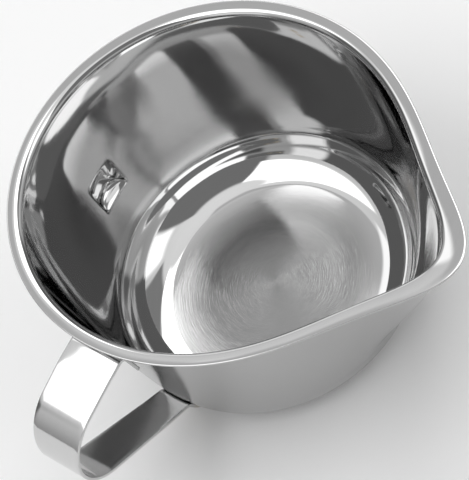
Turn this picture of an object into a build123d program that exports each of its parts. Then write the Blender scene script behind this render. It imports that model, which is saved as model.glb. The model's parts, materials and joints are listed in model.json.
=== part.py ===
"""Candle melting pot: a pressed steel bowl with a pulled spout and a welded strap handle.

Millimetres, +Z up.  The origin is the centre of the flat underside of the base, the spout
points along +X and the handle stands on the -Y side.
"""

from build123d import *
from math import asin, atan2, cos, degrees, pi, radians, sin
import os

# --- sheet and bowl -------------------------------------------------------------------
SHEET = 0.8  # thickness of the bowl's sheet
RIM_RADIUS = 70.0  # outer edge of the rim flange, away from the spout
RIM_OVAL = 1.4  # the pull of the spout leaves the rim this much longer and narrower
HEIGHT = 80.0  # underside of the base to the top edge of the flange
BASE_FLAT_RADIUS = 39.5  # flat part of the base
BASE_FILLET = 18.0  # outer radius between base and wall
WALL_TAPER = 7.5  # degrees that the wall leans outwards
HUB_RADIUS = 20.0  # the middle of the base is one plain disc
HUB_OVERLAP = 1.0  # the disc runs this far into the pressed part of the base

# --- flange ---------------------------------------------------------------------------
FLANGE_WIDTH = 5.5  # wall to outer edge, seen from above
FLANGE_RISE = 6.0  # degrees that the flange rises outwards
FLANGE_BEND = 2.4  # upper radius where the wall turns into the flange

# --- spout ----------------------------------------------------------------------------
SPOUT_REACH = 24.5  # how far the lip stands out past the round rim
SPOUT_LIP_EXTRA = 4.0  # the flange is this much wider at the lip
SPOUT_HALF_WIDTH = 17.0  # degrees from the middle of the lip to half its reach
SPOUT_FADE = 80.0  # degrees from the middle to where the round rim starts
SPOUT_LEAN = 6.0  # degrees that the channel leans out at the lip, past the taper
WALL_HANDLE_LENGTH = 5.0  # how long the wall above the fillet holds its own lean
CHANNEL_HANDLE_LENGTH = 38.0  # how long the channel below the lip holds its lean

# --- rest nub -------------------------------------------------------------------------
NUB_LEDGE_HEIGHT = 31.0  # underside of the ledge inside the pocket
NUB_LENGTH = 14.0  # height of the pocket
NUB_DEPTH = 4.6  # how far the ledge stands out
NUB_LEDGE_WIDTH = 11.0
NUB_TOP_WIDTH = 14.0
NUB_TOP_DEPTH = 0.5
NUB_ROOT = 2.0  # the pocket's cutter starts this far inside the bowl

# --- handle ---------------------------------------------------------------------------
HANDLE_ANGLE = -95.0  # degrees from the spout, about +Z
STRAP_TOP_WIDTH = 21.0  # where the top run meets its tab, and on the tab
STRAP_FOOT_WIDTH = 13.0  # where the lower run meets the wall, and on its tab
STRAP_THICKNESS = 1.2
STRAP_REACH = 32.0  # outermost face of the handle past the rim's edge
RIM_TO_GRIP = 29.0  # top of the rim down to the middle of the grip bend
STRAP_BEND = 19.0  # middle radius of the grip bend
TAB_BEND = 3.0  # middle radius where a run turns into its tab
UPPER_TAB_LENGTH = 13.0  # formed part of the upper tab, below its bend
LOWER_TAB_HEIGHT = 9.0  # the lower tab reaches this far down from the lower run
TAB_CORNER = 3.0  # rounding of the tabs' low corners
UPPER_TURN = 6.0  # the bent strap reaches this far down into the upper tab
LOWER_TURN = 3.0  # and this far into the lower one
RIM_TO_STRAP = 5.5  # top of the rim down to the middle of the top run, at the wall
BASE_TO_FOOT = 14.0  # underside of the base up to the middle of the lower run, at the wall

# --- spot welds -----------------------------------------------------------------------
WELD_DIAMETER = 3.6
WELD_THICKNESS = 0.8  # half of it lies in the bowl, half in the strap
WELD_SPACING = 8.0
UPPER_WELD_DROP = 9.0  # middle of the top run down to the upper pair of welds
LOWER_WELD_DROP = 5.0

# --- how the shapes are made ----------------------------------------------------------
SECTIONS = 36  # profiles in half a turn of the bowl
SECTOR = 22.0  # degrees each side of a joint that its fitting surface covers
CORE_RADIUS = 5.0  # fitting surfaces are filled in to here
FLUSH = 1e-3  # heights closer than this count as one
SLOPE_STEP = 0.05  # half the height over which the wall's direction is taken
SEARCH_END = 1e-7  # share of an edge at which the search for a height stops


def pull(azimuth):
    """Share of the spout's reach at an azimuth in degrees, 1 at the middle of the lip."""
    away = abs(azimuth)
    if away >= SPOUT_FADE:
        return 0.0
    window = 0.5 + 0.5 * cos(pi * away / SPOUT_FADE)
    return window / (1.0 + (away / SPOUT_HALF_WIDTH) ** 2)


def fillet_end(radius):
    """Where a surface of the base fillet meets the wall."""
    lean = radians(WALL_TAPER)
    return Vector(BASE_FLAT_RADIUS + radius * cos(lean), 0, BASE_FILLET - radius * sin(lean))


def bend_centre(azimuth):
    """Centre of the bend between wall and flange, in the upright plane of an azimuth."""
    share = pull(azimuth)
    rise = radians(FLANGE_RISE)
    edge = RIM_RADIUS + RIM_OVAL * cos(2 * radians(azimuth)) + SPOUT_REACH * share
    flat = FLANGE_WIDTH + SPOUT_LIP_EXTRA * share - FLANGE_BEND
    x = edge - flat * cos(rise) + FLANGE_BEND * sin(rise)
    z = HEIGHT - flat * sin(rise) - FLANGE_BEND * cos(rise)
    return Vector(x, 0, z)


def sheet_side(azimuth, depth):
    """One side of the sheet, from the hub to the flange's edge, as edges in the XZ plane.

    depth is 0 for the side that faces out and down, and SHEET for the one that faces in.
    """
    share = pull(azimuth)
    lean = radians(WALL_TAPER)
    lip_lean = radians(WALL_TAPER + SPOUT_LEAN * share)
    rise = radians(FLANGE_RISE)
    fillet = BASE_FILLET - depth
    bend = FLANGE_BEND - SHEET + depth
    centre = bend_centre(azimuth)
    foot = fillet_end(fillet)
    head = centre + Vector(-cos(lip_lean), 0, sin(lip_lean)) * bend
    flange_start = centre + Vector(-sin(rise), 0, cos(rise)) * bend
    half_turn = (pi / 2 - rise + lip_lean) / 2
    bend_middle = centre + Vector(-cos(half_turn), 0, sin(half_turn)) * bend
    edge = RIM_RADIUS + RIM_OVAL * cos(2 * radians(azimuth)) + SPOUT_REACH * share
    flat = FLANGE_WIDTH + SPOUT_LIP_EXTRA * share - FLANGE_BEND
    flange_end = flange_start + Vector(cos(rise), 0, sin(rise)) * flat
    low = (radians(-90) - lean) / 2
    fillet_middle = Vector(BASE_FLAT_RADIUS + fillet * cos(low), 0, BASE_FILLET + fillet * sin(low))
    hub = Vector(HUB_RADIUS, 0, depth)
    flat_end = Vector(BASE_FLAT_RADIUS, 0, depth)
    wall = Bezier(
        foot,
        foot + Vector(sin(lean), 0, cos(lean)) * WALL_HANDLE_LENGTH,
        head - Vector(sin(lip_lean), 0, cos(lip_lean)) * CHANNEL_HANDLE_LENGTH,
        head,
    )
    return [
        Line(hub, flat_end),
        ThreePointArc(flat_end, fillet_middle, foot),
        wall,
        ThreePointArc(head, bend_middle, flange_start),
        Line(flange_start, flange_end),
    ]


def sheet_section(azimuth):
    """The closed section of the sheet at an azimuth, in its own upright plane."""
    outside = sheet_side(azimuth, 0.0)
    inside = sheet_side(azimuth, SHEET)
    rim_edge = Line(outside[-1] @ 1, inside[-1] @ 1)
    hub_edge = Line(inside[0] @ 0, outside[0] @ 0)
    outline = Wire(outside + [rim_edge] + inside + [hub_edge])
    return Face(outline).rotate(Axis.Z, azimuth)


def pressed_sheet():
    """The bowl with its flange and spout, before the nub is pressed."""
    step = 180.0 / SECTIONS
    half = loft([sheet_section(step * count) for count in range(SECTIONS + 1)])
    hub = extrude(Plane.XY * Circle(HUB_RADIUS + HUB_OVERLAP), SHEET)
    return half + mirror(half, about=Plane.XZ) + hub


def filled_section(azimuth, depth):
    """Everything between the axis and one side of the sheet, as a face at an azimuth."""
    side = sheet_side(azimuth, depth)
    top = Vector(CORE_RADIUS, 0, HEIGHT)
    low = Vector(CORE_RADIUS, 0, depth)
    end = side[-1] @ 1
    above = Vector(end.X, 0, HEIGHT)
    closing = [Line(above, top), Line(top, low), Line(low, side[0] @ 0)]
    if above.Z - end.Z > FLUSH:
        closing.insert(0, Line(end, above))
    return Face(Wire(side + closing)).rotate(Axis.Z, azimuth)


def filled_sector(middle, depth):
    """The bowl as a filled body over the profiles within SECTOR degrees of an azimuth."""
    step = 180.0 / SECTIONS
    first = int((middle - SECTOR) / step)
    last = int((middle + SECTOR) / step) + 1
    return loft([filled_section(step * count, depth) for count in range(first, last + 1)])


def wall_point(azimuth, height):
    """Point on the outside of the wall or base fillet at a height, in the XZ plane."""
    edges = sheet_side(azimuth, 0.0)
    edge = edges[1] if height < fillet_end(BASE_FILLET).Z else edges[2]
    low, high = 0.0, 1.0
    while high - low > SEARCH_END:
        middle = (low + high) / 2
        if (edge @ middle).Z < height:
            low = middle
        else:
            high = middle
    return edge @ low


def wall_direction(azimuth, height):
    """Unit vector that runs down the outside of the wall at a height, in the XZ plane."""
    fall = wall_point(azimuth, height - SLOPE_STEP) - wall_point(azimuth, height + SLOPE_STEP)
    return fall.normalized()


def wall_normal(azimuth, height):
    """Unit vector out of the wall at a height, in the XZ plane."""
    down = wall_direction(azimuth, height)
    return Vector(-down.Z, 0, down.X)


def nub_section(height, width, depth, grow):
    """A level D-shaped face on the -X side, from inside the bowl out to the nub's crest."""
    wall = wall_point(180, height).X - SHEET
    root = wall - NUB_ROOT
    half = width / 2 + grow
    crest = wall + depth + grow
    outline = [
        Line((-root, -half, height), (-wall, -half, height)),
        ThreePointArc((-wall, -half, height), (-crest, 0, height), (-wall, half, height)),
        Line((-wall, half, height), (-root, half, height)),
        Line((-root, half, height), (-root, -half, height)),
    ]
    return Face(Wire(outline))


def nub_body(grow):
    """The rest nub's pocket, or its outside when grown by the sheet's thickness."""
    ledge = nub_section(NUB_LEDGE_HEIGHT - grow, NUB_LEDGE_WIDTH, NUB_DEPTH, grow)
    top = nub_section(NUB_LEDGE_HEIGHT + NUB_LENGTH, NUB_TOP_WIDTH, NUB_TOP_DEPTH, grow)
    return loft([ledge, top], ruled=True)


def pressed_bowl():
    """The finished bowl: sheet, flange, spout and the rest nub opposite the spout."""
    pocket = nub_body(0.0)
    shell = nub_body(SHEET) - filled_sector(180.0, SHEET / 2)
    return pressed_sheet() + shell - pocket


def tangent_line(point, centre, radius, side):
    """Direction from a point to a circle's tangent, above it for side 1, below for -1."""
    way = centre - point
    turn = side * asin(radius / way.length)
    angle = atan2(way.Z, way.X) + turn
    return Vector(cos(angle), 0, sin(angle))


def crossing(point, way, other, other_way):
    """Where two lines in the XZ plane cross."""
    gap = other - point
    across = way.X * other_way.Z - way.Z * other_way.X
    return point + way * ((gap.X * other_way.Z - gap.Z * other_way.X) / across)


def strap_path():
    """Middle line of the strap in the XZ plane, from inside one tab to inside the other."""
    half = STRAP_THICKNESS / 2
    angle = abs(HANDLE_ANGLE)
    top = HEIGHT - RIM_TO_STRAP
    upper = wall_point(angle, top) + Vector(half, 0, 0)
    lower = wall_point(angle, BASE_TO_FOOT) + wall_normal(angle, BASE_TO_FOOT) * half
    grip_x = RIM_RADIUS + STRAP_REACH - half - STRAP_BEND
    grip = Vector(grip_x, 0, HEIGHT - RIM_TO_GRIP)
    top_way = tangent_line(upper, grip, STRAP_BEND, 1)
    low_way = tangent_line(lower, grip, STRAP_BEND, -1)
    corner = crossing(upper, top_way, lower, low_way)
    upper_end = upper + wall_direction(angle, top) * UPPER_TURN
    lower_end = lower + wall_direction(angle, BASE_TO_FOOT) * LOWER_TURN
    return FilletPolyline(
        upper_end, upper, corner, lower, lower_end, radius=[TAB_BEND, STRAP_BEND, TAB_BEND]
    )


def tab(low, high, width, wrap):
    """A strap's end formed to the wall between two heights, with its low corners rounded."""
    outline = Pos(0, (low + high) / 2) * Rectangle(width, high - low)
    corners = outline.vertices().sort_by(Axis.Y)[:2]
    prism = extrude(Plane.YZ * fillet(corners, TAB_CORNER), RIM_RADIUS + STRAP_REACH)
    return wrap & prism.rotate(Axis.Z, abs(HANDLE_ANGLE))


def nugget(height, offset):
    """One weld nugget across the wall's outer surface, on a height and beside the middle."""
    angle = abs(HANDLE_ANGLE)
    point = wall_point(angle, height)
    across = degrees(asin(offset / point.X))
    seat = Plane(origin=point, x_dir=(0, 1, 0), z_dir=wall_normal(angle, height))
    return (seat * Cylinder(WELD_DIAMETER / 2, WELD_THICKNESS)).rotate(Axis.Z, angle + across)


def weld_nuggets():
    """The four welds, a pair through each tab, on the +Y side."""
    heights = [HEIGHT - RIM_TO_STRAP - UPPER_WELD_DROP, BASE_TO_FOOT - LOWER_WELD_DROP]
    offsets = [-WELD_SPACING / 2, WELD_SPACING / 2]
    return [nugget(height, offset) for height in heights for offset in offsets]


def taper():
    """The strap's outline seen from outside, narrower towards the foot, as a level prism."""
    top = HEIGHT - RIM_TO_STRAP - TAB_BEND
    half_top = STRAP_TOP_WIDTH / 2
    half_foot = STRAP_FOOT_WIDTH / 2
    right = [(half_foot, 0), (half_foot, BASE_TO_FOOT), (half_top, top), (half_top, HEIGHT)]
    left = [(-x, z) for x, z in reversed(right)]
    return extrude(Plane.YZ * make_face(Polyline(*right, *left, close=True)), RIM_RADIUS + STRAP_REACH)


def strap():
    """The handle before its welds: the bent strap with a formed tab at each end, on the +Y side."""
    angle = abs(HANDLE_ANGLE)
    outside = filled_sector(angle, 0.0)
    wrap = filled_sector(angle, -STRAP_THICKNESS) - outside
    band_face = Face(strap_path().offset_2d(STRAP_THICKNESS / 2, side=Side.BOTH, closed=True))
    band = (extrude(band_face, STRAP_TOP_WIDTH, both=True) & taper()).rotate(Axis.Z, angle)
    top = HEIGHT - RIM_TO_STRAP - TAB_BEND
    upper = tab(top - UPPER_TAB_LENGTH, top, STRAP_TOP_WIDTH, wrap)
    lower = tab(BASE_TO_FOOT - LOWER_TAB_HEIGHT, BASE_TO_FOOT, STRAP_FOOT_WIDTH, wrap)
    return (band - outside) + upper + lower


def on_handle_side(shape):
    """Puts what was built on the +Y side where the handle is."""
    if HANDLE_ANGLE < 0:
        return mirror(shape, about=Plane.XZ)
    return shape


def main():
    """Writes one STEP file for each piece."""
    welds = [on_handle_side(weld) for weld in weld_nuggets()]
    pieces = {
        "pot_body": pressed_bowl() - welds,
        "strap_handle": on_handle_side(strap()) - welds,
        "spot_welds": Compound(children=welds),
    }
    os.makedirs("parts", exist_ok=True)
    for name, piece in pieces.items():
        piece.label = name
        export_step(piece, f"parts/{name}.step")


main()
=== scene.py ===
"""Visual model of a candle melting pot: mirror-polished bowl, bent strap handle and weld marks."""

from __future__ import annotations

import json
import logging
import math
from dataclasses import dataclass
from enum import Enum
from typing import Any, Callable, Iterable, Mapping, Sequence

import bpy
import numpy as np
from bpy.types import Material, Mesh, Node, NodeSocket, NodeTree, Object, World
from mathutils import Matrix, Vector

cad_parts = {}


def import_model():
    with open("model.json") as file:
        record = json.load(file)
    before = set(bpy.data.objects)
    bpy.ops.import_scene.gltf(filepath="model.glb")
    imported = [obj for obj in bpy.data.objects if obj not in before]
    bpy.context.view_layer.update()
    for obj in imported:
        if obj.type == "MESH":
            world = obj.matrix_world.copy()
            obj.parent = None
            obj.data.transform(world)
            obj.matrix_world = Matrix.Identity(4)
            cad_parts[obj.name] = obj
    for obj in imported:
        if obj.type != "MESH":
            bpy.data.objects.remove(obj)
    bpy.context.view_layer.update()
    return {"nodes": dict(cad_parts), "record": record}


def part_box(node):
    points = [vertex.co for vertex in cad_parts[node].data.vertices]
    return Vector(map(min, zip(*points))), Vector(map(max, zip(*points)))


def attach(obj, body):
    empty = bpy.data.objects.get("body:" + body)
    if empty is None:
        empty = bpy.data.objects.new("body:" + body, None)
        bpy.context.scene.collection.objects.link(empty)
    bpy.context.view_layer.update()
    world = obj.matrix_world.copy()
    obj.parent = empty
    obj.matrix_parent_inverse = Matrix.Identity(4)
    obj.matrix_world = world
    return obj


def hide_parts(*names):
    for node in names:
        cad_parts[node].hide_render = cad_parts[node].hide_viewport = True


LOG = logging.getLogger("melting_pot")
MM = 0.001
SKIN_GAP = 0.06 * MM  # how far the sheet stays inside the frame's box
SLOPE_STEP = 0.2 * MM  # half the height over which the wall's slope is taken
WHITE = (1.0, 1.0, 1.0, 1.0)
BEND_STEPS = 40  # points round a bend of the strap
Point2 = tuple[float, float]


class Side(Enum):
    """The two sides of the pressed sheet."""

    OUTER = 0
    INNER = 1


# --- Node trees ---


class Board:
    """A shader or geometry node tree that nodes are added to."""

    def __init__(self, tree: NodeTree) -> None:
        """Keeps the tree that this board adds to."""
        self.tree = tree

    def node(
        self,
        kind: str,
        sockets: Mapping[str | int, Any] | None = None,
        **settings: Any,
    ) -> Node:
        """Adds a node, sets it up and fills its sockets.

        Args:
            kind: The node's type name.
            sockets: Socket names or numbers, with the value, the Term or the socket for each.
            settings: Properties that are set before the sockets.

        Returns:
            The new node.
        """
        made = self.tree.nodes.new(kind)
        for name, value in settings.items():
            setattr(made, name, value)
        for name, value in (sockets or {}).items():
            self.feed(made.inputs[name], value)
        return made

    def feed(self, socket: NodeSocket, value: Any) -> None:
        """Links or sets one input socket.

        Args:
            socket: The input to fill.
            value: A Term, an output socket, or a plain value.
        """
        if isinstance(value, Term):
            value = value.socket
        if isinstance(value, NodeSocket):
            self.tree.links.new(value, socket)
        elif value is not None:
            socket.default_value = value

    def term(self, socket: NodeSocket) -> Term:
        """Wraps an output socket for use in expressions."""
        return Term(self, socket)

    def maths(self, operation: str, *values: Any) -> Term:
        """The result of a new Math node, whose inputs are given in order."""
        made = self.node("ShaderNodeMath", dict(enumerate(values)), operation=operation)
        return self.term(made.outputs[0])

    def split(self, vector: Any) -> tuple[Term, Term, Term]:
        """The X, Y and Z of a vector socket."""
        parts = self.node("ShaderNodeSeparateXYZ", {0: vector})
        return tuple(self.term(parts.outputs[n]) for n in range(3))

    def bump(self, height: Term, under: Any = None) -> Any:
        """Bumps a normal.

        Args:
            height: The relief in metres.
            under: The normal below it, or None for the surface's own.

        Returns:
            The bumped normal's socket.
        """
        made = self.node("ShaderNodeBump", {"Strength": 1.0, "Distance": 1.0, "Height": height})
        self.feed(made.inputs["Normal"], under)
        return made.outputs["Normal"]

    def noise(self, place: Any, scale: float, detail: float) -> Term:
        """Noise between 0 and 1, with so many waves for each metre and octaves of finer noise."""
        made = self.node("ShaderNodeTexNoise", {"Vector": place, "Scale": scale, "Detail": detail})
        return self.term(made.outputs[0])

    def smooth_step(self, value: Any, low: float, high: float) -> Term:
        """Adds a smooth step.

        Args:
            value: What the step reads.
            low: Value at which it is 0.
            high: Value at which it is 1, above low or below it.

        Returns:
            The step, between 0 and 1.
        """
        made = self.node(
            "ShaderNodeMapRange",
            {0: value, 1: min(low, high), 2: max(low, high), 3: 0.0, 4: 1.0},
            interpolation_type="SMOOTHSTEP",
        )
        rise = self.term(made.outputs[0])
        return rise if low < high else 1 - rise


def operator(operation: str, swapped: bool = False) -> Callable[[Any, Any], Any]:
    """Makes one of the Term's operators.

    Args:
        operation: The Math node's operation.
        swapped: Whether the plain number stands on the left.

    Returns:
        The method.
    """

    def method(own: Any, other: Any) -> Any:
        """Joins the two numbers with a Math node."""
        return own.board.maths(operation, *((other, own) if swapped else (own, other)))

    return method


@dataclass(frozen=True)
class Term:
    """One number of a node tree, which Python's operators work on."""

    board: Board
    socket: NodeSocket

    __add__ = operator("ADD")
    __radd__ = operator("ADD", swapped=True)
    __sub__ = operator("SUBTRACT")
    __rsub__ = operator("SUBTRACT", swapped=True)
    __mul__ = operator("MULTIPLY")
    __rmul__ = operator("MULTIPLY", swapped=True)
    __truediv__ = operator("DIVIDE")
    __pow__ = operator("POWER")

    def of(self, operation: str, *others: Any) -> Term:
        """This number put through another of the Math node's operations."""
        return self.board.maths(operation, self, *others)


# --- Finishes ---


@dataclass(frozen=True)
class SteelFinish:
    """Polished sheet steel with lines from the polishing wheel, smudges and slight waviness.

    Attributes:
        title: The material's name.
        shade: Reflected colour of the clean metal.
        roughness: Mean roughness.
        scatter: How far the roughness wanders from its mean.
        lines: Polishing lines for each metre, along X, Y and Z.
        line_depth: Height of the lines' bump in metres.
        wave_scale: Waves for each metre of the sheet.
        wave_depth: Height of the waves' bump in metres.
        weld_prints: Middles of the round prints that the spot welder left.
        print_radius: Radius of a print in metres.
        print_depth: Depth of a print in metres.
        print_floor: Its flat middle as a share of its radius.
        heat_reach: Where the heat's tint starts and where it is full, in radii of the print.
        heat_tint: Colour of the metal round a print.
        heat_share: How much of that colour shows at most.
        heat_roughness: What the heat adds to the roughness.
        smudge_scale: Smudges for each metre.
        smudge_tone: How far the smudges change the brightness.
        mark_tone: How far the polishing lines change it.
        mean_tone: Brightness between them.
        least_roughness: The roughness never falls below this.
    """

    title: str
    shade: tuple[float, float, float]
    roughness: float = 0.08
    scatter: float = 0.05
    lines: tuple[float, float, float] = (900.0, 900.0, 60.0)
    line_depth: float = 0.000001
    wave_scale: float = 26.0
    wave_depth: float = 0.0002
    weld_prints: tuple[Vector, ...] = ()
    print_radius: float = 1.9 * MM
    print_depth: float = 0.12 * MM
    print_floor: float = 0.6
    heat_reach: Point2 = (2.6, 0.9)
    heat_tint: tuple[float, float, float, float] = (0.50, 0.42, 0.30, 1.0)
    heat_share: float = 0.55
    heat_roughness: float = 0.12
    smudge_scale: float = 38.0
    smudge_tone: float = 0.06
    mark_tone: float = 0.05
    mean_tone: float = 0.95
    least_roughness: float = 0.03

    def make(self) -> Material:
        """Builds the material.

        Returns:
            The new material.
        """
        material = bpy.data.materials.new(self.title)
        material.use_nodes = True
        board = Board(material.node_tree)
        board.tree.nodes.clear()
        place = board.node("ShaderNodeTexCoord").outputs["Object"]
        marks = self.marks(board, place)
        smudge = board.noise(place, self.smudge_scale, detail=4.0)
        waves = board.noise(place, self.wave_scale, detail=1.0)
        pressed, heated = self.prints(board, place)
        lined, smudged = marks - 0.5, smudge - 0.5
        rough = self.roughness + self.scatter * (lined + smudged) + self.heat_roughness * heated
        tone = self.mean_tone + self.smudge_tone * smudged + self.mark_tone * lined
        # some finishes paint shade into the colour here
        tone = self.with_painted_shade(board, tone)
        clean = board.node("ShaderNodeVectorMath", {0: self.shade, "Scale": tone}, operation="SCALE")
        colour = board.node(
            "ShaderNodeMix",
            {0: heated * self.heat_share, 6: clean.outputs[0], 7: self.heat_tint},
            data_type="RGBA",
        )
        broad = waves * self.wave_depth - pressed * self.print_depth + self.dish(board, place)
        normal = board.bump(marks * self.line_depth, board.bump(broad))
        shader = board.node(
            "ShaderNodeBsdfPrincipled",
            {
                "Base Color": colour.outputs[2],
                "Metallic": 1.0,
                "Roughness": self.gloss(board, rough).of("MAXIMUM", self.least_roughness),
                "Normal": normal,
            },
        )
        board.node("ShaderNodeOutputMaterial", {"Surface": shader.outputs[0]})
        return material

    def gloss(self, board: Board, rough: Term) -> Term:
        """The roughness that goes to the shader; this finish uses it as it is."""
        return rough

    def with_painted_shade(self, board: Board, tone: Term) -> Term:
        """The shade's brightness after painted shade; this finish paints none."""
        return tone

    def dish(self, board: Board, place: NodeSocket) -> Term | float:
        """Height of a pressed dish; this finish has none."""
        return 0.0

    def marks(self, board: Board, place: NodeSocket) -> Term:
        """Straight polishing lines, long one way and fine across it."""
        scaled = board.node("ShaderNodeMapping", {"Vector": place, "Scale": self.lines})
        return board.noise(scaled.outputs[0], 1.0, detail=2.0)

    def prints(self, board: Board, place: NodeSocket) -> tuple[Term, Term]:
        """The welder's round prints.

        Args:
            board: The tree to add to.
            place: The coordinates.

        Returns:
            How deep a point lies in a print, and how strongly it was heated, from 0 to 1.
        """
        pressed = heated = board.maths("ADD", 0.0, 0.0)
        for middle in self.weld_prints:
            gap = board.node("ShaderNodeVectorMath", {0: place, 1: middle}, operation="DISTANCE")
            away = board.term(gap.outputs["Value"])
            away = away / self.print_radius
            pressed = pressed + board.smooth_step(away, 1.0, self.print_floor)
            heated = heated + board.smooth_step(away, *self.heat_reach)
        return pressed, heated


@dataclass(frozen=True)
class SpunFinish(SteelFinish):
    """Steel polished while it turns about the pot's axis, duller outside than inside: rougher there,
    and darkened by painted shade.

    Attributes:
        around: Marks in each radian round the axis.
        outer_roughness: What the outside adds to the roughness.
        outer_painted_shade: Share of the brightness that painted shade takes from the outside, so that
            its reflection reads darker.
        dish_depth: How far the base is dished, taken as a bump.
        dish_start: Radius at which the dish starts to rise.
        dish_end: Radius at which it is done.
        dish_heights: Heights between which the dish gives way to the wall.
    """

    around: float = 2.0
    outer_roughness: float = 0.0
    # painted shade on the outside of the sheet, none unless set
    outer_painted_shade: float = 0.0
    dish_depth: float = 1.4 * MM
    dish_start: float = 25.0 * MM
    dish_end: float = 49.0 * MM
    dish_heights: Point2 = (8.0 * MM, 14.0 * MM)

    def marks(self, board: Board, place: NodeSocket) -> Term:
        """Circular lines that depend on the distance from the axis and the height.

        Args:
            board: The board to add to.
            place: Object coordinates.

        Returns:
            The lines as noise between 0 and 1.
        """
        x, y, z = board.split(place)
        radius = (x * x + y * y).of("SQRT")
        angle = y.of("ARCTAN2", x)
        turned = board.node(
            "ShaderNodeCombineXYZ",
            {0: radius * self.lines[0], 1: angle * self.around, 2: z * self.lines[2]},
        )
        return board.noise(turned.outputs[0], 1.0, detail=3.0)

    def dish(self, board: Board, place: NodeSocket) -> Term | float:
        """The gentle rise of the base towards its rounded edge.

        Args:
            board: The board to add to.
            place: Object coordinates.

        Returns:
            The rise in metres.
        """
        x, y, z = board.split(place)
        radius = (x * x + y * y).of("SQRT")
        low = board.smooth_step(z, self.dish_heights[1], self.dish_heights[0])
        return self.dish_depth * low * board.smooth_step(radius, self.dish_start, self.dish_end)

    def outside(self, board: Board) -> Term:
        """1 on the outside of the sheet, 0 inside."""
        inward = board.node("ShaderNodeAttribute", attribute_name="inward")
        return 1.0 - board.term(inward.outputs["Fac"])

    def with_painted_shade(self, board: Board, tone: Term) -> Term:
        """Painted shade: the outside's colour is darkened so that its reflection reads darker."""
        # painted shade on the outside of the sheet
        return tone * (1.0 - self.outer_painted_shade * self.outside(board))

    def gloss(self, board: Board, rough: Term) -> Term:
        """Adds the outside's duller polish."""
        return rough + self.outer_roughness * self.outside(board)


@dataclass(frozen=True)
class BrushedFinish(SpunFinish):
    """Spun steel whose brushing fades out into plain polish.

    Attributes:
        brush_start: Radius up to which the brushing is full.
        brush_end: Radius at which it is gone.
        edge_roughness: Roughness of the polish outside it.
        brushed_painted_shade: Share of the brightness that painted shade takes where the brushing is
            full, standing in for the darker reflections there.
    """

    brush_start: float = 29.0 * MM
    brush_end: float = 42.0 * MM
    edge_roughness: float = 0.045
    # painted shade where the brushing is full
    brushed_painted_shade: float = 0.4

    def brushed(self, board: Board) -> Term:
        """How strong the brushing is at a point.

        Args:
            board: The board to add to.

        Returns:
            A share from 0 to 1.
        """
        place = board.node("ShaderNodeTexCoord").outputs["Object"]
        x, y, _ = board.split(place)
        return board.smooth_step((x * x + y * y).of("SQRT"), self.brush_end, self.brush_start)

    def marks(self, board: Board, place: NodeSocket) -> Term:
        """The circular lines, fading outwards."""
        return (super().marks(board, place) - 0.5) * self.brushed(board) + 0.5

    def with_painted_shade(self, board: Board, tone: Term) -> Term:
        """Painted shade: the colour darkens where the brushing is full, standing in for the brushed
        floor's darker reflections.
        """
        # painted shade on the brushed floor
        return tone * (1.0 - self.brushed_painted_shade * self.brushed(board))

    def gloss(self, board: Board, rough: Term) -> Term:
        """The roughness falls to the polish's as the brushing fades."""
        return rough - (1.0 - self.brushed(board)) * (self.roughness - self.edge_roughness)


@dataclass(frozen=True)
class PaperFinish:
    """The studio floor's matt pale sweep.

    Attributes:
        title: The material's name.
        shade: Its colour.
        roughness: Its roughness.
        gloss: Level of its highlights.
    """

    title: str = "studio_paper"
    shade: tuple[float, float, float, float] = (0.93, 0.93, 0.93, 1.0)
    roughness: float = 0.9
    gloss: float = 0.2

    def make(self) -> Material:
        """Builds the material.

        Returns:
            The new material.
        """
        material = bpy.data.materials.new(self.title)
        material.use_nodes = True
        shader = material.node_tree.nodes["Principled BSDF"]
        shader.inputs["Base Color"].default_value = self.shade
        shader.inputs["Roughness"].default_value = self.roughness
        shader.inputs["Specular IOR Level"].default_value = self.gloss
        return material


# --- Shared geometry ---


def linked(name: str, data: Any) -> Object:
    """Adds an object to the scene.

    Args:
        name: The object's name.
        data: Its mesh, curve or camera.

    Returns:
        The new object.
    """
    made = bpy.data.objects.new(name, data)
    bpy.context.scene.collection.objects.link(made)
    return made


def step(point: Point2, angle: float, length: float) -> Point2:
    """The point that lies so far from another, at an angle from the X axis."""
    return point[0] + length * math.cos(angle), point[1] + length * math.sin(angle)


def run_lengths(spots: np.ndarray) -> np.ndarray:
    """How far along a line of points each one lies."""
    return np.r_[0.0, np.cumsum(np.linalg.norm(np.diff(spots, axis=0), axis=1))]


def arc_points(centre: Point2, radius: float, start: float, end: float, count: int) -> list[Point2]:
    """Points along an arc between two angles in radians, with count steps and both ends."""
    return [step(centre, turn, radius) for turn in np.linspace(start, end, count + 1)]


def line_points(start: Point2, end: Point2, count: int) -> list[Point2]:
    """Points along a straight line.

    Args:
        start: The first point.
        end: The last point.
        count: Number of steps.

    Returns:
        count + 1 points, both ends included.
    """
    return [
        (start[0] + (end[0] - start[0]) * n / count, start[1] + (end[1] - start[1]) * n / count)
        for n in range(count + 1)
    ]


def curve_points(corners: Sequence[Point2], count: int) -> list[Point2]:
    """Points along a cubic curve.

    Args:
        corners: The curve's four control points.
        count: Number of steps.

    Returns:
        count + 1 points, both ends included.
    """
    ends = np.array(corners)
    t = np.linspace(0.0, 1.0, count + 1)[:, None]
    weights = ((1 - t) ** 3, 3 * t * (1 - t) ** 2, 3 * t * t * (1 - t), t**3)
    return [tuple(p) for p in sum(w * end for w, end in zip(weights, ends))]


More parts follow.
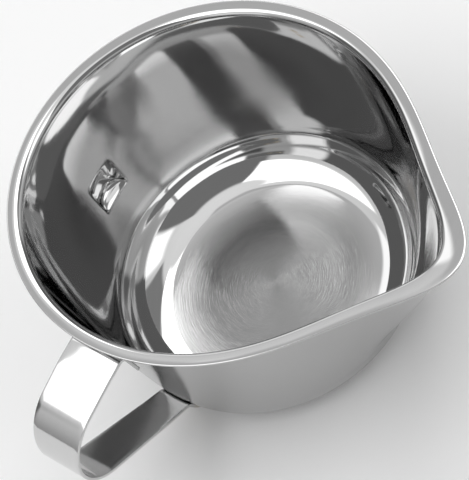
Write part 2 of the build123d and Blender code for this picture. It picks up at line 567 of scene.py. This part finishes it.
def rail_object(name: str, points: Sequence[Sequence[float]], values: Mapping[str, Any]) -> Object:
    """A mesh of loose points that carry values, which a geometry tree reads by number.

    Args:
        name: The object's name.
        points: The points' places.
        values: Attribute names, with one number or vector for each point.

    Returns:
        The new object.
    """
    mesh = bpy.data.meshes.new(name)
    mesh.from_pydata([tuple(p) for p in points], [], [])
    for key, column in values.items():
        data = np.asarray(column, dtype=np.float32)
        kind = "FLOAT" if data.ndim == 1 else "FLOAT_VECTOR"
        attribute = mesh.attributes.new(key, kind, "POINT")
        attribute.data.foreach_set("value" if data.ndim == 1 else "vector", data.ravel())
    return linked(name, mesh)


SOCKETS = {
    int: "NodeSocketInt",
    float: "NodeSocketFloat",
    Object: "NodeSocketObject",
}


class SheetTree:
    """A geometry tree that lays a grid of rows and columns and bends it to a rule."""

    def __init__(self, title: str, inputs: Mapping[str, Any]) -> None:
        """Starts the tree and its named inputs.

        Args:
            title: The tree's name.
            inputs: Input names, each with its value: a whole number, a number or an object.
        """
        self.tree = bpy.data.node_groups.new(title, "GeometryNodeTree")
        self.board = Board(self.tree)
        self.values = dict(inputs)
        face = self.tree.interface
        face.new_socket("Geometry", in_out="INPUT", socket_type="NodeSocketGeometry")
        face.new_socket("Geometry", in_out="OUTPUT", socket_type="NodeSocketGeometry")
        self.sockets = {
            name: face.new_socket(name, in_out="INPUT", socket_type=SOCKETS[type(value)]).identifier
            for name, value in inputs.items()
        }
        self.entry = self.board.node("NodeGroupInput")
        self.rail = self.entry.outputs["Geometry"]

    def value(self, name: str) -> Term:
        """A named input as a Term."""
        return self.board.term(self.entry.outputs[name])

    def grid(self) -> tuple[NodeSocket, Term, Term]:
        """Adds the flat grid.

        Returns:
            The grid, and each point's row and column numbers.
        """
        rows, columns = self.value("Rows"), self.value("Columns")
        grid = self.board.node(
            "GeometryNodeMeshGrid",
            {"Vertices X": rows, "Vertices Y": columns, "Size X": 1.0, "Size Y": 1.0},
        )
        index = self.board.term(self.board.node("GeometryNodeInputIndex").outputs[0])
        row = ((index + 0.5) / columns).of("FLOOR")
        return grid.outputs["Mesh"], row, index - row * columns

    def sample(self, row: Term, name: str, kind: str = "FLOAT", rail: Any = None) -> Any:
        """Reads a value that a rail point carries.

        Args:
            row: The rail point's number.
            name: The attribute's name, or "position".
            kind: FLOAT or FLOAT_VECTOR.
            rail: The rail, when it isn't the tree's own geometry.

        Returns:
            A Term for a number, or the output socket for a vector.
        """
        read = self.board.node("GeometryNodeInputNamedAttribute", {"Name": name}, data_type=kind)
        found = self.board.node(
            "GeometryNodeSampleIndex",
            {"Geometry": rail or self.rail, "Value": read.outputs[0], "Index": row},
            data_type=kind,
            domain="POINT",
        )
        return self.board.term(found.outputs[0]) if kind == "FLOAT" else found.outputs[0]

    def place(self, mesh: Any, x: Term, y: Term, z: Term) -> Any:
        """Moves every point of the mesh.

        Args:
            mesh: The geometry.
            x: The points' new X.
            y: Their new Y.
            z: Their new Z.

        Returns:
            The moved geometry's socket.
        """
        spot = self.board.node("ShaderNodeCombineXYZ", {0: x, 1: y, 2: z})
        sockets = {"Geometry": mesh, "Position": spot.outputs[0]}
        return self.board.node("GeometryNodeSetPosition", sockets).outputs[0]

    def note(self, mesh: Any, name: str, value: Term) -> Any:
        """Stores a number on every point of the mesh, for a finish to read.

        Args:
            mesh: The geometry.
            name: The attribute's name.
            value: The number.

        Returns:
            The geometry's socket, with the attribute.
        """
        stored = self.board.node(
            "GeometryNodeStoreNamedAttribute",
            {"Geometry": mesh, "Name": name, "Value": value},
            data_type="FLOAT",
            domain="POINT",
        )
        return stored.outputs[0]

    def close(self, mesh: Any, gap: float = 1e-6) -> Any:
        """Welds points that lie together, which closes the seam and the poles."""
        sockets = {"Geometry": mesh, "Distance": gap}
        return self.board.node("GeometryNodeMergeByDistance", sockets).outputs[0]

    def finish(self, mesh: Any, materials: Iterable[tuple[Material, Any]]) -> None:
        """Realizes instances, gives the faces their materials and ends the tree.

        Args:
            mesh: The geometry.
            materials: Materials, each with a Term that selects its faces or None for all.
        """
        last = mesh
        for kind in ("GeometryNodeSetShadeSmooth", "GeometryNodeRealizeInstances"):
            last = self.board.node(kind, {"Geometry": last}).outputs[0]
        for material, chosen in materials:
            sockets = {"Geometry": last, "Material": material, "Selection": chosen}
            last = self.board.node("GeometryNodeSetMaterial", sockets).outputs[0]
        self.board.node("NodeGroupOutput", {"Geometry": last})

    def apply(self, rail: Object, name: str) -> Object:
        """Runs the tree on a rail and keeps the result as a plain mesh.

        Args:
            rail: The object with the rail points. It is removed afterwards.
            name: The name of the finished piece.

        Returns:
            The finished piece, at the origin.
        """
        modifier = rail.modifiers.new("shape", "NODES")
        modifier.node_group = self.tree
        for key, identifier in self.sockets.items():
            modifier[identifier] = self.values[key]
        graph = bpy.context.evaluated_depsgraph_get()
        mesh = bpy.data.meshes.new_from_object(rail.evaluated_get(graph), depsgraph=graph)
        mesh.name = name
        rail.modifiers.remove(modifier)
        bpy.data.objects.remove(rail)
        return linked(name, mesh)


def volume_of(mesh: Mesh) -> float:
    """Signed volume of a closed mesh.

    Args:
        mesh: The mesh.

    Returns:
        Cubic metres, below zero when the faces point inwards.
    """
    mesh.calc_loop_triangles()
    spots = np.empty(len(mesh.vertices) * 3, dtype=np.float64)
    mesh.vertices.foreach_get("co", spots)
    corners = np.empty(len(mesh.loop_triangles) * 3, dtype=np.int64)
    mesh.loop_triangles.foreach_get("vertices", corners)
    a, b, c = (spots.reshape(-1, 3)[corners.reshape(-1, 3)[:, n]] for n in range(3))
    return float(np.einsum("ij,ij->i", a, np.cross(b, c)).sum() / 6)


def face_outwards(piece: Object) -> None:
    """Turns a closed piece's faces round if they point inwards."""
    if volume_of(piece.data) < 0:
        piece.data.flip_normals()


# --- The bowl ---


@dataclass
class PressedBowl:
    """The one-piece bowl: base, wall, flange, pulled spout and pressed rest nub.

    Lengths are in metres and angles in radians. A share runs from 0 at the round rim to 1 at
    the middle of the lip. Columns crowd towards the spout and the nub.
    """

    height: float
    rim_radius: float
    sheet: float = 0.8 * MM
    rim_oval: float = 1.4 * MM
    base_flat: float = 39.5 * MM
    base_fillet: float = 18.0 * MM
    wall_taper: float = math.radians(7.5)
    wall_hold: float = 5.0 * MM
    flange_width: float = 5.5 * MM
    flange_rise: float = math.radians(6.0)
    flange_bend: float = 2.4 * MM
    flange_crown: float = math.radians(4.0)
    edge_round: float = 0.3 * MM
    spout_reach: float = 24.5 * MM
    spout_lip_extra: float = 4.0 * MM
    spout_half_width: float = math.radians(17.0)
    spout_fade: float = math.radians(80.0)
    spout_lean: float = math.radians(6.0)
    channel_hold: float = 38.0 * MM
    nub_ledge: float = 31.0 * MM
    nub_length: float = 14.0 * MM
    nub_depth: float = 4.6 * MM
    nub_swell: float = 0.7 * MM
    swell_radius: float = 24.0 * MM
    nub_half_width: float = 7.0 * MM
    brushed_radius: float = 43.0 * MM
    nub_lip: Point2 = (-0.09, 0.02)
    columns: int = 320
    crowding: float = 0.34
    base_steps: int = 12
    fillet_steps: int = 24
    wall_steps: int = 90
    bend_steps: int = 9
    flange_steps: int = 10
    edge_steps: int = 9

    def side(self, side: Side, share: float) -> list[Point2]:
        """One side of the sheet's section, from the axis to the flange's edge.

        Args:
            side: Which side of the sheet.
            share: The spout's pull, 0 for the round rim and 1 for the middle of the lip.

        Returns:
            The section's points.
        """
        depth = self.sheet if side is Side.INNER else 0.0
        lean, rise = self.wall_taper, self.flange_rise
        lip_lean = lean + self.spout_lean * share
        fillet = self.base_fillet - depth
        bend = self.flange_bend - self.sheet + depth
        flat = self.flange_width - self.flange_bend + self.spout_lip_extra * share
        edge = self.rim_radius + self.spout_reach * share
        upright = math.pi / 2
        rim = step((edge, self.height), rise, -flat)
        centre = step(rim, upright + rise, -self.flange_bend)
        corner = (self.base_flat, self.base_fillet)
        foot = step(corner, -lean, fillet)
        head = step(centre, math.pi - lip_lean, bend)
        low_hold = step(foot, upright - lean, self.wall_hold)
        high_hold = step(head, upright - lip_lean, -self.channel_hold)
        steep, falling = rise + self.flange_crown, rise - self.flange_crown
        tip = flat - self.edge_round
        start = step(centre, upright + steep, bend)
        end = step(step(centre, upright + rise, bend), rise, tip)
        rising, over = step(start, steep, tip / 3), step(end, falling, -tip / 3)
        return (
            line_points((0.0, depth), (self.base_flat, depth), self.base_steps)[:-1]
            + arc_points(corner, fillet, -upright, -lean, self.fillet_steps)[:-1]
            + curve_points((foot, low_hold, high_hold, head), self.wall_steps)[:-1]
            + arc_points(centre, bend, math.pi - lip_lean, upright + steep, self.bend_steps)[:-1]
            + curve_points((start, rising, over, end), self.flange_steps)
        )

    def profile(self, share: float) -> list[Point2]:
        """The whole section: up the outside, round the flange's edge and down the inside.

        Args:
            share: The spout's pull, from 0 to 1.

        Returns:
            The section's points.
        """
        outer, inner = self.side(Side.OUTER, share), self.side(Side.INNER, share)
        low, high = outer[-1], inner[-1]
        middle = ((low[0] + high[0]) / 2, (low[1] + high[1]) / 2)
        falling = self.flange_rise - self.flange_crown
        edge = []
        for turn in np.linspace(-math.pi / 2, math.pi / 2, self.edge_steps)[1:-1]:
            out = self.edge_round * math.cos(turn)
            up = self.sheet / 2 * math.sin(turn)
            edge.append(step(step(middle, falling, out), math.pi / 2 + falling, up))
        return outer + edge + inner[::-1]

    def oval(self, height: float) -> float:
        """How far the rim's oval reaches at a height: nothing at the base, all of it at the rim."""
        up = (height - self.base_fillet) / (self.height - self.base_fillet)
        return self.rim_oval * min(max(up, 0.0), 1.0)

    def tree(self, rows: int, wall: Material, floor: Material) -> SheetTree:
        """The rule that turns the section about the axis and pulls the spout and the nub.

        Args:
            rows: Number of points in the section.
            wall: Finish of everything but the floor.
            floor: Finish of the floor inside.

        Returns:
            The geometry tree.
        """
        tree = SheetTree(
            "pressed_bowl",
            {
                "Rows": rows,
                "Columns": self.columns + 1,
                "Spout Half Width": self.spout_half_width,
                "Spout Fade": self.spout_fade,
                "Nub Ledge": self.nub_ledge,
                "Nub Length": self.nub_length,
                "Nub Depth": self.nub_depth,
                "Nub Swell": self.nub_swell,
                "Nub Half Width": self.nub_half_width,
                "Brushed Radius": self.brushed_radius,
            },
        )
        board = tree.board
        mesh, row, column = tree.grid()
        turn = column * (2 * math.pi / self.columns) - math.pi
        azimuth = turn - self.crowding * (turn * 2.0).of("SINE")
        radius, _, rise = board.split(tree.sample(row, "position", "FLOAT_VECTOR"))
        away = azimuth.of("ABSOLUTE")
        faded = (away / tree.value("Spout Fade")).of("MINIMUM", 1.0) * math.pi
        window = 0.5 + 0.5 * faded.of("COSINE")
        share = window / (1.0 + (away / tree.value("Spout Half Width")) ** 2.0)
        outwards, _, upwards = board.split(tree.sample(row, "pull", "FLOAT_VECTOR"))
        radius = radius + outwards * share
        rise = rise + upwards * share
        radius = radius + tree.sample(row, "oval") * (azimuth * 2.0).of("COSINE")
        radius = radius + self.nub(tree, azimuth, radius, rise)
        mesh = tree.note(mesh, "inward", tree.sample(row, "inward"))
        mesh = tree.place(mesh, radius * azimuth.of("COSINE"), radius * azimuth.of("SINE"), rise)
        mesh = tree.close(mesh)
        where = board.node("GeometryNodeInputPosition").outputs[0]
        x, y, z = board.split(where)
        near = (x * x + y * y).of("SQRT").of("LESS_THAN", tree.value("Brushed Radius"))
        inside = z.of("GREATER_THAN", self.sheet * 0.5)
        tree.finish(mesh, [(wall, None), (floor, near * inside)])
        return tree

    def nub(self, tree: SheetTree, azimuth: Term, radius: Term, rise: Term) -> Term:
        """How far the rest nub pushes a point of the wall outwards.

        Args:
            tree: The tree to add to.
            azimuth: The point's angle from the spout, in radians.
            radius: Its distance from the axis.
            rise: Its height.

        Returns:
            The push in metres.
        """
        ledge, length = tree.value("Nub Ledge"), tree.value("Nub Length")
        aslant = (azimuth.of("ABSOLUTE") - math.pi) * radius
        aside = aslant / tree.value("Nub Half Width")
        across = (1.0 - aside * aside).of("MAXIMUM", 0.0).of("SQRT")
        up = (rise - ledge) / length
        ramp = (1.0 - up).of("MAXIMUM", 0.0).of("MINIMUM", 1.0)
        lip = tree.board.smooth_step(up, *self.nub_lip)
        away = (aslant * aslant + (rise - ledge) * (rise - ledge)).of("SQRT")
        swell = tree.value("Nub Swell") * tree.board.smooth_step(away, self.swell_radius, 0.0)
        return tree.value("Nub Depth") * across * ramp * lip + swell

    def build(self, wall: Material, floor: Material) -> Object:
        """Makes the bowl and ties it to the frame.

        Args:
            wall: Finish of everything but the floor.
            floor: Finish of the floor inside.

        Returns:
            The bowl.
        """
        points, lip = self.profile(0.0), self.profile(1.0)
        values = {
            "pull": [(b[0] - a[0], 0.0, b[1] - a[1]) for a, b in zip(points, lip)],
            "oval": [self.oval(z) for _, z in points],
            "inward": [0.0 if n < len(points) / 2 else 1.0 for n in range(len(points))],
        }
        rail = rail_object("bowl_section", [(x, 0.0, z) for x, z in points], values)
        bowl = self.tree(len(points), wall, floor).apply(rail, "bowl_shell")
        face_outwards(bowl)
        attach(bowl, "root")
        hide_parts("pot_body")
        return bowl

    def wall_spot(self, azimuth: float, height: float) -> tuple[Vector, Vector]:
        """A point on the outside of the wall, away from the spout, and the direction out of it.

        Args:
            azimuth: Angle about the axis from the spout.
            height: Height above the base.

        Returns:
            The point and the unit vector that points away from the axis.
        """
        points = self.side(Side.OUTER, 0.0)
        heights = [z for _, z in points]
        spread = [x for x, _ in points]
        x = float(np.interp(height, heights, spread)) + self.oval(height) * math.cos(2 * azimuth)
        near = (height - SLOPE_STEP, height + SLOPE_STEP)
        low, high = (float(np.interp(z, heights, spread)) for z in near)
        slope = (high - low) / (2 * SLOPE_STEP)
        out = Vector((math.cos(azimuth), math.sin(azimuth), -slope)).normalized()
        return Vector((x * math.cos(azimuth), x * math.sin(azimuth), height)), out


# --- The handle ---


@dataclass
class StrapHandle:
    """The flat strap, bent into an open grip, with a tab at each end formed to the wall.

    Lengths are in metres and angles in radians. Heights are above the base, and the weld drops
    are below the upper and the lower end of the grip.
    """

    bowl: PressedBowl
    azimuth: float = math.radians(-95.0)
    top_width: float = 21.0 * MM
    foot_width: float = 13.0 * MM
    thickness: float = 1.2 * MM
    reach: float = 32.0 * MM
    grip_height: float = 51.0 * MM
    grip_bend: float = 19.0 * MM
    tab_bend: float = 3.0 * MM
    upper_height: float = 74.5 * MM
    lower_height: float = 14.0 * MM
    upper_tab: float = 16.0 * MM
    lower_tab: float = 9.5 * MM
    corner: float = 3.0 * MM
    edge_round: float = 0.28 * MM
    weld_spacing: float = 8.0 * MM
    weld_drops: Point2 = (9.0 * MM, 5.0 * MM)
    release_bends: float = 4.0
    path_points: int = 170
    foot_steps: int = 6
    corner_steps: int = 4
    face_steps: int = 12

    def weld_prints(self) -> tuple[Vector, ...]:
        """Where the welds are.

        Returns:
            Their middles on the outside of the wall, a pair through each tab.
        """
        spots = []
        for height in (self.upper_height - self.weld_drops[0], self.lower_height - self.weld_drops[1]):
            aside = math.asin(self.weld_spacing / 2 / self.wall(height))
            for turn in (-aside, aside):
                spots.append(self.bowl.wall_spot(self.azimuth + turn, height)[0])
        return tuple(spots)

    def wall(self, height: float) -> float:
        """Distance of the outside of the wall from the axis at the handle."""
        return self.bowl.wall_spot(self.azimuth, height)[0].xy.length

    def corners(self) -> tuple[list[Point2], list[float]]:
        """The strap's middle line as corner points and the bend radius at each.

        Returns:
            The points from the upper tab's end to the lower one's, and the bend radii.
        """
        half = self.thickness / 2
        upper = (self.wall(self.upper_height) + half, self.upper_height)
        lower = (self.wall(self.lower_height) + half, self.lower_height)
        grip = (self.bowl.rim_radius + self.reach - half - self.grip_bend, self.grip_height)
        top = self.tangent(upper, grip, 1.0)
        low = self.tangent(lower, grip, -1.0)
        gap = (lower[0] - upper[0], lower[1] - upper[1])
        across = math.cos(top) * math.sin(low) - math.sin(top) * math.cos(low)
        length = (gap[0] * math.sin(low) - gap[1] * math.cos(low)) / across
        apex = step(upper, top, length)
        upper_end = self.upper_height - self.upper_tab
        points = [(self.wall(upper_end) + half, upper_end), upper, apex, lower]
        foot = self.foot_points()
        return points + foot, [self.tab_bend, self.grip_bend, self.tab_bend] + [0.0] * (len(foot) - 1)

    def foot_points(self) -> list[Point2]:
        """The lower tab's middle line, which follows the rounded edge of the base.

        Returns:
            Its points, from the lower run down.
        """
        half, steps = self.thickness / 2, self.foot_steps
        heights = [self.lower_height - self.lower_tab * (n + 1) / steps for n in range(steps)]
        spots = [self.bowl.wall_spot(self.azimuth, height) for height in heights]
        return [(p.xy.length + out.xy.length * half, p.z + out.z * half) for p, out in spots]

    def tangent(self, point: Point2, centre: Point2, side: float) -> float:
        """Angle of the line from a point that touches the grip bend on one side."""
        dx, dz = centre[0] - point[0], centre[1] - point[1]
        return math.atan2(dz, dx) + side * math.asin(self.grip_bend / math.hypot(dx, dz))

    def path(self) -> list[Point2]:
        """The middle line with its bends rounded.

        Returns:
            Evenly spaced points, from the upper tab's end to the lower one's.
        """
        points, radii = self.corners()
        line: list[Point2] = [points[0]]
        for n in range(1, len(points) - 1):
            line += rounded(points[n - 1], points[n], points[n + 1], radii[n - 1])
        line.append(points[-1])
        return evenly(line, self.path_points)

    def section(self) -> list[Point2]:
        """The strap's section, across its width and through its thickness, edges rounded.

        Returns:
            Its outline, with the first point repeated at the end.
        """
        half, thick, r = self.top_width / 2, self.thickness / 2, self.edge_round
        outline: list[Point2] = []
        for sx, sz, start in ((1, 1, 0.0), (-1, 1, 0.5), (-1, -1, 1.0), (1, -1, 1.5)):
            centre = (sx * (half - r), sz * (thick - r))
            turns = (start * math.pi, (start + 0.5) * math.pi)
            outline += arc_points(centre, r, *turns, self.corner_steps)
            if sz * sx > 0:
                ends = (centre[0], sz * thick), (-centre[0], sz * thick)
                outline += line_points(*ends, self.face_steps)[1:-1]
        return outline + outline[:1]

    def tree(self, rows: int, columns: int, section: Object, steel: Material) -> SheetTree:
        """The rule that lays the section along the path and forms the tabs to the wall.

        Args:
            rows: Points along the path.
            columns: Points round the section, the first repeated at the end.
            section: The section's rail.
            steel: The strap's finish.

        Returns:
            The geometry tree.
        """
        tree = SheetTree(
            "bent_strap",
            {
                "Rows": rows,
                "Columns": columns,
                "Section": section,
                "Turn": self.azimuth,
                "Wall Radius": self.wall(self.grip_height),
            },
        )
        board = tree.board
        mesh, row, column = tree.grid()
        other = board.node("GeometryNodeObjectInfo", {"Object": tree.entry.outputs["Section"]})
        outline = tree.sample(column, "position", "FLOAT_VECTOR", other.outputs["Geometry"])
        across, through, _ = board.split(outline)
        reach, _, rise = board.split(tree.sample(row, "position", "FLOAT_VECTOR"))
        outwards, _, upwards = board.split(tree.sample(row, "facing", "FLOAT_VECTOR"))
        aside = across * tree.sample(row, "narrow")
        off = through * tree.sample(row, "thin")
        off = off - aside * aside / (2.0 * tree.value("Wall Radius")) * tree.sample(row, "formed")
        reach = reach + outwards * off
        rise = rise + upwards * off
        turn = tree.value("Turn")
        x = reach * turn.of("COSINE") - aside * turn.of("SINE")
        y = reach * turn.of("SINE") + aside * turn.of("COSINE")
        tree.finish(tree.close(tree.place(mesh, x, y, rise)), [(steel, None)])
        return tree

    def build(self, steel: Material) -> Object:
        """Makes the strap and ties it to the frame.

        Args:
            steel: The strap's finish.

        Returns:
            The strap.
        """
        line = self.path()
        spots = np.array(line)
        way = np.gradient(spots, axis=0)
        way /= np.linalg.norm(way, axis=1)[:, None]
        facing = np.c_[-way[:, 1], np.zeros(len(way)), way[:, 0]]
        run = run_lengths(spots)
        ends = np.minimum(run, run[-1] - run)
        left = np.clip(self.corner - ends, 0, self.corner)
        inset = self.corner - np.sqrt(self.corner**2 - left**2)
        width = np.interp(
            spots[:, 1],
            (self.lower_height, self.upper_height - self.tab_bend),
            (self.foot_width, self.top_width),
        )
        narrow = (width - 2 * inset) / self.top_width
        thin = np.where(ends <= 0, 0.0, 1.0)
        narrow[[0, -1]] = 0.0
        release = self.release_bends * self.tab_bend
        formed = np.maximum(
            fade(run, self.upper_tab - self.tab_bend, self.upper_tab + release),
            fade(run[-1] - run, self.lower_tab, self.lower_tab + release),
        )
        values = {"facing": facing, "narrow": narrow, "thin": thin, "formed": formed}
        rail = rail_object("strap_path", [(x, 0.0, z) for x, z in line], values)
        cut = self.section()
        section = rail_object("strap_section", [(a, b, 0.0) for a, b in cut], {})
        strap = self.tree(len(line), len(cut), section, steel).apply(rail, "strap_grip")
        bpy.data.objects.remove(section)
        face_outwards(strap)
        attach(strap, "root")
        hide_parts("strap_handle")
        return strap


def rounded(before: Point2, corner: Point2, after: Point2, radius: float) -> list[Point2]:
    """A corner of a line, rounded to a radius.

    Args:
        before: The point before the corner.
        corner: The corner.
        after: The point after it.
        radius: The bend's radius, or 0 to keep the corner.

    Returns:
        The points that take the corner's place.
    """
    if radius <= 0:
        return [corner]
    a, b, c = (Vector((p[0], p[1])) for p in (before, corner, after))
    u, v = (a - b).normalized(), (c - b).normalized()
    half = math.acos(max(-1.0, min(1.0, u.dot(v)))) / 2
    back = radius / math.tan(half)
    middle = b + (u + v).normalized() * (radius / math.sin(half))
    start, end = b + u * back - middle, b + v * back - middle
    first = math.atan2(start.y, start.x)
    sweep = math.atan2(start.x * end.y - start.y * end.x, start.dot(end))
    return arc_points((middle.x, middle.y), radius, first, first + sweep, BEND_STEPS)


def evenly(line: Sequence[Point2], count: int) -> list[Point2]:
    """Spaces a line's points evenly.

    Args:
        line: The line's points.
        count: Number of points wanted.

    Returns:
        The same line with that many points.
    """
    spots = np.array(line)
    run = run_lengths(spots)
    at = np.linspace(0.0, run[-1], count)
    return list(zip(np.interp(at, run, spots[:, 0]), np.interp(at, run, spots[:, 1])))


def fade(run: np.ndarray, full: float, none: float) -> np.ndarray:
    """A share that is 1 up to a length along a line and falls smoothly to 0 at another."""
    left = np.clip((none - run) / (none - full), 0.0, 1.0)
    return left * left * (3 - 2 * left)


# --- Studio ---


@dataclass(frozen=True)
class Panel:
    """A soft-edged patch of the room that is lighter or darker than the rest.

    Attributes:
        azimuth: Its middle about the axis, in degrees from the spout.
        elevation: Its middle above the horizon, in degrees.
        width: Its width in degrees.
        height: Its height in degrees.
        level: Its brightness.
        edge: Width of its soft edge in degrees.
    """

    azimuth: float
    elevation: float
    width: float
    height: float
    level: float
    edge: float = 8.0

    def mask(self, board: Board, azimuth: Term, elevation: Term) -> Term:
        """How much of the panel shows in a direction.

        Args:
            board: The world's tree.
            azimuth: The direction's angle about the axis, in radians.
            elevation: Its angle above the horizon, in radians.

        Returns:
            1 on the panel, 0 off it.
        """
        aside = (azimuth - math.radians(self.azimuth)).of("WRAP", math.pi, -math.pi).of("ABSOLUTE")
        above = (elevation - math.radians(self.elevation)).of("ABSOLUTE")
        masks = [
            board.smooth_step(
                away, math.radians(size / 2 + self.edge / 2), math.radians(size / 2 - self.edge / 2)
            )
            for away, size in ((aside, self.width), (above, self.height))
        ]
        return masks[0] * masks[1]


@dataclass
class Studio:
    """The pale floor and the room of soft panels that the steel mirrors."""

    floor_size: float = 6.0
    horizon: float = 0.38
    zenith: float = 1.10
    panels: tuple[Panel, ...] = (
        Panel(-30.0, 51.0, 96.0, 52.0, 0.24, 6.0),
        Panel(-122.0, 61.0, 96.0, 32.0, 2.5, 4.0),
        Panel(116.0, 52.0, 40.0, 32.0, 2.9, 3.0),
        Panel(77.0, 50.0, 34.0, 26.0, 0.30, 4.0),
        Panel(36.0, 44.0, 32.0, 32.0, 2.0, 8.0),
        Panel(156.0, 64.0, 30.0, 28.0, 0.65, 5.0),
        Panel(163.0, 43.0, 30.0, 14.0, 1.6, 4.0),
        Panel(-95.0, 20.0, 26.0, 20.0, 1.1, 6.0),
        Panel(-158.0, 16.0, 40.0, 40.0, 0.16, 8.0),
        Panel(102.0, 14.0, 44.0, 40.0, 0.16, 8.0),
        Panel(138.0, 12.0, 16.0, 30.0, 1.1, 5.0),
    )

    def floor(self) -> Object:
        """Lays the floor under the base.

        Returns:
            The floor.
        """
        half = self.floor_size / 2
        mesh = bpy.data.meshes.new("studio_floor")
        corners = [(-half, -half, 0), (half, -half, 0), (half, half, 0), (-half, half, 0)]
        mesh.from_pydata(corners, [], [(0, 1, 2, 3)])
        mesh.materials.append(PaperFinish().make())
        made = linked("studio_floor", mesh)
        return made

    def room(self) -> World:
        """Lights the room: an even glow with lighter and darker panels over it.

        Returns:
            The scene's world.
        """
        world = bpy.data.worlds.new("studio_room")
        world.use_nodes = True
        board = Board(world.node_tree)
        board.tree.nodes.clear()
        way = board.node("ShaderNodeTexCoord").outputs["Generated"]
        x, y, z = board.split(way)
        azimuth = y.of("ARCTAN2", x)
        elevation = z.of("ARCSINE")
        level = self.horizon + (self.zenith - self.horizon) * z.of("MAXIMUM", 0.0)
        for panel in self.panels:
            shown = panel.mask(board, azimuth, elevation)
            level = level * (1.0 - shown) + panel.level * shown
        glow = board.node("ShaderNodeBackground", {"Color": WHITE, "Strength": level})
        board.node("ShaderNodeOutputWorld", {"Surface": glow.outputs[0]})
        bpy.context.scene.world = world
        return world

    def build(self) -> None:
        """Sets up the floor and the room."""
        self.floor()
        self.room()
        bpy.context.scene.view_settings.view_transform = "Standard"


@dataclass
class ViewCamera:
    """The camera, turned about its own axis so that the spout lies to the right."""

    target: Vector
    azimuth: float = math.radians(-31.0)
    elevation: float = math.radians(55.6)
    roll: float = math.radians(-34.1)
    distance: float = 0.596
    aim_right: float = 10.2 * MM
    aim_up: float = -21.8 * MM
    lens: float = 136.2

    def build(self) -> Object:
        """Places the camera.

        Returns:
            The camera.
        """
        a, e = self.azimuth, self.elevation
        back = Vector((math.cos(a) * math.cos(e), math.sin(a) * math.cos(e), math.sin(e)))
        right = Vector((-math.sin(a), math.cos(a), 0.0))
        up = back.cross(right)
        turned_right = right * math.cos(self.roll) + up * math.sin(self.roll)
        turned_up = up * math.cos(self.roll) - right * math.sin(self.roll)
        aim = self.target + turned_right * self.aim_right + turned_up * self.aim_up
        data = bpy.data.cameras.new("view_camera")
        data.lens = self.lens
        camera = linked("view_camera", data)
        turn = Matrix((turned_right, turned_up, back)).transposed().to_4x4()
        camera.matrix_world = Matrix.Translation(aim + back * self.distance) @ turn
        bpy.context.scene.camera = camera
        return camera


def main() -> None:
    """Builds the pot, the studio and the camera."""
    logging.basicConfig(level=logging.INFO, format="%(name)s: %(message)s")
    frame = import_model()
    low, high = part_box("pot_body")
    record = frame["record"]
    LOG.info("frame: %s", record["type"])
    rim_radius = (high.y - low.y) / 2 + PressedBowl.rim_oval - SKIN_GAP
    bowl = PressedBowl(height=high.z, rim_radius=rim_radius)
    handle = StrapHandle(bowl)
    prints = handle.weld_prints()
    wall = SpunFinish(
        "polished_wall",
        (0.63, 0.63, 0.63),
        roughness=0.045,
        scatter=0.03,
        wave_depth=0.0003,
        lines=(1200.0, 0.0, 1200.0),
        outer_roughness=0.14,
        # painted shade: darkens the outside's colour, and with it the reflection
        outer_painted_shade=0.2,
        weld_prints=prints,
    ).make()
    floor = BrushedFinish(
        "brushed_floor",
        (0.63, 0.63, 0.63),
        roughness=0.17,
        scatter=0.05,
        lines=(5000.0, 0.0, 100.0),
        line_depth=0.00003,
        around=3.0,
    ).make()
    strap_steel = SteelFinish(
        "strap_steel",
        (0.64, 0.64, 0.64),
        roughness=0.10,
        lines=(900.0, 60.0, 60.0),
        weld_prints=prints,
    ).make()
    shell = bowl.build(wall, floor)
    LOG.info("bowl: %d faces", len(shell.data.polygons))
    strap = handle.build(strap_steel)
    LOG.info("strap: %d faces", len(strap.data.polygons))
    weld_steel = SteelFinish("weld_steel", (0.5, 0.48, 0.46), roughness=0.35).make()
    for slot in frame["nodes"]["spot_welds"].material_slots:
        slot.material = weld_steel
    Studio().build()
    ViewCamera(target=Vector((0.0, 0.0, high.z))).build()


if __name__ == "__main__":
    main()
